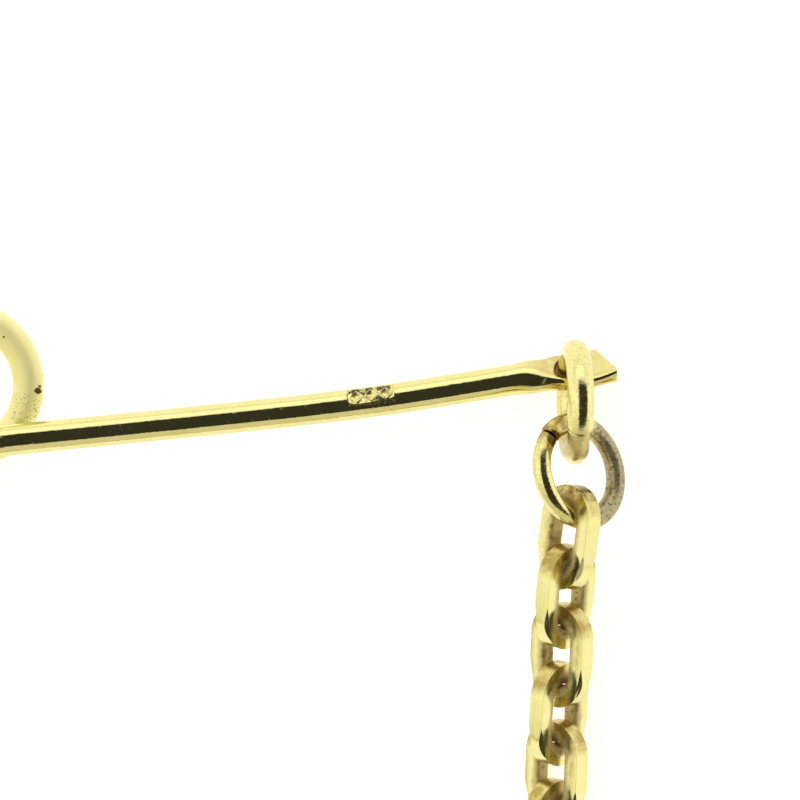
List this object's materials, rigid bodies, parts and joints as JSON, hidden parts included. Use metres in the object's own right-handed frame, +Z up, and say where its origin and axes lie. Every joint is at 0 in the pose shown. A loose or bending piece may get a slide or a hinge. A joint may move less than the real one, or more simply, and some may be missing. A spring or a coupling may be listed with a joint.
{
  "type": "tie chain",
  "caption": "Wire bar with a button loop in the middle and a pierced eye at each end, joined to a draped cable chain by jump rings.",
  "frame": {"origin": "under the middle of the set, on the surface that it lies on", "axes": "+X along the bar towards the eye at the right, +Y from the chain towards the bar, +Z up"},
  "size_m": [0.0548, 0.0452, 0.0052],
  "materials": {
    "bar": "polished yellow gold",
    "rings": "polished yellow gold, lightly worn",
    "chain": "diamond-cut yellow gold"
  },
  "bodies": {
    "bar": {"bar": "bar"},
    "eye_ring_right": {"eye_ring_right": "rings"},
    "drop_ring_right": {"drop_ring_right": "rings"},
    "link_right_01": {"link_right_01": "chain"},
    "link_right_02": {"link_right_02": "chain"},
    "link_right_03": {"link_right_03": "chain"},
    "link_right_04": {"link_right_04": "chain"},
    "link_right_05": {"link_right_05": "chain"},
    "link_right_06": {"link_right_06": "chain"},
    "link_right_07": {"link_right_07": "chain"},
    "link_right_08": {"link_right_08": "chain"},
    "link_right_09": {"link_right_09": "chain"},
    "link_right_10": {"link_right_10": "chain"},
    "link_right_11": {"link_right_11": "chain"},
    "link_right_12": {"link_right_12": "chain"},
    "link_right_13": {"link_right_13": "chain"},
    "link_right_14": {"link_right_14": "chain"},
    "link_right_15": {"link_right_15": "chain"},
    "link_right_16": {"link_right_16": "chain"},
    "link_right_17": {"link_right_17": "chain"},
    "link_right_18": {"link_right_18": "chain"},
    "eye_ring_left": {"eye_ring_left": "rings"},
    "drop_ring_left": {"drop_ring_left": "rings"},
    "link_left_01": {"link_left_01": "chain"},
    "link_left_02": {"link_left_02": "chain"},
    "link_left_03": {"link_left_03": "chain"},
    "link_left_04": {"link_left_04": "chain"},
    "link_left_05": {"link_left_05": "chain"},
    "link_left_06": {"link_left_06": "chain"},
    "link_left_07": {"link_left_07": "chain"},
    "link_left_08": {"link_left_08": "chain"},
    "link_left_09": {"link_left_09": "chain"},
    "link_left_10": {"link_left_10": "chain"},
    "link_left_11": {"link_left_11": "chain"},
    "link_left_12": {"link_left_12": "chain"},
    "link_left_13": {"link_left_13": "chain"},
    "link_left_14": {"link_left_14": "chain"},
    "link_left_15": {"link_left_15": "chain"},
    "link_left_16": {"link_left_16": "chain"},
    "link_left_17": {"link_left_17": "chain"},
    "link_left_18": {"link_left_18": "chain"},
    "link_middle": {"link_middle": "chain"}
  },
  "joints": [
    {"name": "eye_ring_right_swing", "type": "hinge", "parent": "bar", "child": "eye_ring_right", "pos_m": [0.02567, 0.0158, 0.00264], "axis": [-1, 0, 0], "range_deg": [-50, 100]},
    {"name": "drop_ring_right_swing", "type": "hinge", "parent": "eye_ring_right", "child": "drop_ring_right", "pos_m": [0.02551, 0.01492, 0.00259], "axis": [1, 0, 0], "range_deg": [-45, 30]},
    {"name": "link_right_01_swing", "type": "hinge", "parent": "drop_ring_right", "child": "link_right_01", "pos_m": [0.02503, 0.01149, 0.00289], "axis": [-1, 0, 0], "range_deg": [-9, 40]},
    {"name": "link_right_02_swing", "type": "hinge", "parent": "link_right_01", "child": "link_right_02", "pos_m": [0.02447, 0.00907, 0.00264], "axis": [1, 0, 0], "range_deg": [-30, 30]},
    {"name": "link_right_03_swing", "type": "hinge", "parent": "link_right_02", "child": "link_right_03", "pos_m": [0.02406, 0.00664, 0.00222], "axis": [-1, 0, 0], "range_deg": [-36, 36]},
    {"name": "link_right_04_swing", "type": "hinge", "parent": "link_right_03", "child": "link_right_04", "pos_m": [0.02374, 0.0042, 0.0018], "axis": [1, 0, 0], "range_deg": [-36, 36]},
    {"name": "link_right_05_swing", "type": "hinge", "parent": "link_right_04", "child": "link_right_05", "pos_m": [0.0234, 0.00175, 0.00145], "axis": [-1, 0, 0], "range_deg": [-36, 36]},
    {"name": "link_right_06_swing", "type": "hinge", "parent": "link_right_05", "child": "link_right_06", "pos_m": [0.02307, -0.00072, 0.00121], "axis": [1, 0, 0], "range_deg": [-33, 33]},
    {"name": "link_right_07_swing", "type": "hinge", "parent": "link_right_06", "child": "link_right_07", "pos_m": [0.02255, -0.00317, 0.00121], "axis": [-1, 0, 0], "range_deg": [-33, 33]},
    {"name": "link_right_08_swing", "type": "hinge", "parent": "link_right_07", "child": "link_right_08", "pos_m": [0.02182, -0.00556, 0.00121], "axis": [1, 0, 0], "range_deg": [-33, 33]},
    {"name": "link_right_09_swing", "type": "hinge", "parent": "link_right_08", "child": "link_right_09", "pos_m": [0.02086, -0.00787, 0.00121], "axis": [-1, 0, 0], "range_deg": [-33, 33]},
    {"name": "link_right_10_swing", "type": "hinge", "parent": "link_right_09", "child": "link_right_10", "pos_m": [0.01967, -0.01007, 0.00121], "axis": [1, 0, 0], "range_deg": [-30, 30]},
    {"name": "link_right_11_swing", "type": "hinge", "parent": "link_right_10", "child": "link_right_11", "pos_m": [0.01828, -0.01214, 0.00121], "axis": [-1, 0, 0], "range_deg": [-30, 30]},
    {"name": "link_right_12_swing", "type": "hinge", "parent": "link_right_11", "child": "link_right_12", "pos_m": [0.01667, -0.01406, 0.00121], "axis": [1, 0, 0], "range_deg": [-30, 30]},
    {"name": "link_right_13_swing", "type": "hinge", "parent": "link_right_12", "child": "link_right_13", "pos_m": [0.01488, -0.0158, 0.00121], "axis": [-1, 0, 0], "range_deg": [-30, 30]},
    {"name": "link_right_14_swing", "type": "hinge", "parent": "link_right_13", "child": "link_right_14", "pos_m": [0.01291, -0.01734, 0.00121], "axis": [1, 0, 0], "range_deg": [-27, 27]},
    {"name": "link_right_15_swing", "type": "hinge", "parent": "link_right_14", "child": "link_right_15", "pos_m": [0.01078, -0.01866, 0.00121], "axis": [-1, 0, 0], "range_deg": [-27, 27]},
    {"name": "link_right_16_swing", "type": "hinge", "parent": "link_right_15", "child": "link_right_16", "pos_m": [0.00853, -0.01974, 0.00121], "axis": [1, 0, 0], "range_deg": [-27, 27]},
    {"name": "link_right_17_swing", "type": "hinge", "parent": "link_right_16", "child": "link_right_17", "pos_m": [0.00617, -0.02056, 0.00121], "axis": [-1, 0, 0], "range_deg": [-27, 27]},
    {"name": "link_right_18_swing", "type": "hinge", "parent": "link_right_17", "child": "link_right_18", "pos_m": [0.00373, -0.02112, 0.00121], "axis": [1, 0, 0], "range_deg": [-27, 27]},
    {"name": "eye_ring_left_swing", "type": "hinge", "parent": "bar", "child": "eye_ring_left", "pos_m": [-0.02567, 0.0158, 0.00264], "axis": [-1, 0, 0], "range_deg": [-50, 100]},
    {"name": "drop_ring_left_swing", "type": "hinge", "parent": "eye_ring_left", "child": "drop_ring_left", "pos_m": [-0.02551, 0.01492, 0.00259], "axis": [1, 0, 0], "range_deg": [-45, 30]},
    {"name": "link_left_01_swing", "type": "hinge", "parent": "drop_ring_left", "child": "link_left_01", "pos_m": [-0.02503, 0.01149, 0.00289], "axis": [-1, 0, 0], "range_deg": [-9, 40]},
    {"name": "link_left_02_swing", "type": "hinge", "parent": "link_left_01", "child": "link_left_02", "pos_m": [-0.02447, 0.00907, 0.00264], "axis": [1, 0, 0], "range_deg": [-30, 30]},
    {"name": "link_left_03_swing", "type": "hinge", "parent": "link_left_02", "child": "link_left_03", "pos_m": [-0.02406, 0.00664, 0.00222], "axis": [-1, 0, 0], "range_deg": [-36, 36]},
    {"name": "link_left_04_swing", "type": "hinge", "parent": "link_left_03", "child": "link_left_04", "pos_m": [-0.02374, 0.0042, 0.0018], "axis": [1, 0, 0], "range_deg": [-36, 36]},
    {"name": "link_left_05_swing", "type": "hinge", "parent": "link_left_04", "child": "link_left_05", "pos_m": [-0.0234, 0.00175, 0.00145], "axis": [-1, 0, 0], "range_deg": [-36, 36]},
    {"name": "link_left_06_swing", "type": "hinge", "parent": "link_left_05", "child": "link_left_06", "pos_m": [-0.02307, -0.00072, 0.00121], "axis": [1, 0, 0], "range_deg": [-33, 33]},
    {"name": "link_left_07_swing", "type": "hinge", "parent": "link_left_06", "child": "link_left_07", "pos_m": [-0.02255, -0.00317, 0.00121], "axis": [-1, 0, 0], "range_deg": [-33, 33]},
    {"name": "link_left_08_swing", "type": "hinge", "parent": "link_left_07", "child": "link_left_08", "pos_m": [-0.02182, -0.00556, 0.00121], "axis": [1, 0, 0], "range_deg": [-33, 33]},
    {"name": "link_left_09_swing", "type": "hinge", "parent": "link_left_08", "child": "link_left_09", "pos_m": [-0.02086, -0.00787, 0.00121], "axis": [-1, 0, 0], "range_deg": [-33, 33]},
    {"name": "link_left_10_swing", "type": "hinge", "parent": "link_left_09", "child": "link_left_10", "pos_m": [-0.01967, -0.01007, 0.00121], "axis": [1, 0, 0], "range_deg": [-30, 30]},
    {"name": "link_left_11_swing", "type": "hinge", "parent": "link_left_10", "child": "link_left_11", "pos_m": [-0.01828, -0.01214, 0.00121], "axis": [-1, 0, 0], "range_deg": [-30, 30]},
    {"name": "link_left_12_swing", "type": "hinge", "parent": "link_left_11", "child": "link_left_12", "pos_m": [-0.01667, -0.01406, 0.00121], "axis": [1, 0, 0], "range_deg": [-30, 30]},
    {"name": "link_left_13_swing", "type": "hinge", "parent": "link_left_12", "child": "link_left_13", "pos_m": [-0.01488, -0.0158, 0.00121], "axis": [-1, 0, 0], "range_deg": [-30, 30]},
    {"name": "link_left_14_swing", "type": "hinge", "parent": "link_left_13", "child": "link_left_14", "pos_m": [-0.01291, -0.01734, 0.00121], "axis": [1, 0, 0], "range_deg": [-27, 27]},
    {"name": "link_left_15_swing", "type": "hinge", "parent": "link_left_14", "child": "link_left_15", "pos_m": [-0.01078, -0.01866, 0.00121], "axis": [-1, 0, 0], "range_deg": [-27, 27]},
    {"name": "link_left_16_swing", "type": "hinge", "parent": "link_left_15", "child": "link_left_16", "pos_m": [-0.00853, -0.01974, 0.00121], "axis": [1, 0, 0], "range_deg": [-27, 27]},
    {"name": "link_left_17_swing", "type": "hinge", "parent": "link_left_16", "child": "link_left_17", "pos_m": [-0.00617, -0.02056, 0.00121], "axis": [-1, 0, 0], "range_deg": [-27, 27]},
    {"name": "link_left_18_swing", "type": "hinge", "parent": "link_left_17", "child": "link_left_18", "pos_m": [-0.00373, -0.02112, 0.00121], "axis": [1, 0, 0], "range_deg": [-27, 27]},
    {"name": "link_middle_swing", "type": "hinge", "parent": "link_right_18", "child": "link_middle", "pos_m": [0.00125, -0.02141, 0.00121], "axis": [-1, 0, 0], "range_deg": [-27, 27]}
  ],
  "couplings": [
    {"joint": "eye_ring_left_swing", "follows": "eye_ring_right_swing", "ratio": 1},
    {"joint": "drop_ring_left_swing", "follows": "drop_ring_right_swing", "ratio": 1},
    {"joint": "link_left_01_swing", "follows": "link_right_01_swing", "ratio": 1},
    {"joint": "link_left_02_swing", "follows": "link_right_02_swing", "ratio": 1},
    {"joint": "link_left_03_swing", "follows": "link_right_03_swing", "ratio": 1},
    {"joint": "link_left_04_swing", "follows": "link_right_04_swing", "ratio": 1},
    {"joint": "link_left_05_swing", "follows": "link_right_05_swing", "ratio": 1},
    {"joint": "link_left_06_swing", "follows": "link_right_06_swing", "ratio": 1},
    {"joint": "link_left_07_swing", "follows": "link_right_07_swing", "ratio": 1},
    {"joint": "link_left_08_swing", "follows": "link_right_08_swing", "ratio": 1},
    {"joint": "link_left_09_swing", "follows": "link_right_09_swing", "ratio": 1},
    {"joint": "link_left_10_swing", "follows": "link_right_10_swing", "ratio": 1},
    {"joint": "link_left_11_swing", "follows": "link_right_11_swing", "ratio": 1},
    {"joint": "link_left_12_swing", "follows": "link_right_12_swing", "ratio": 1},
    {"joint": "link_left_13_swing", "follows": "link_right_13_swing", "ratio": 1},
    {"joint": "link_left_14_swing", "follows": "link_right_14_swing", "ratio": 1},
    {"joint": "link_left_15_swing", "follows": "link_right_15_swing", "ratio": 1},
    {"joint": "link_left_16_swing", "follows": "link_right_16_swing", "ratio": 1},
    {"joint": "link_left_17_swing", "follows": "link_right_17_swing", "ratio": 1},
    {"joint": "link_left_18_swing", "follows": "link_right_18_swing", "ratio": 1}
  ]
}
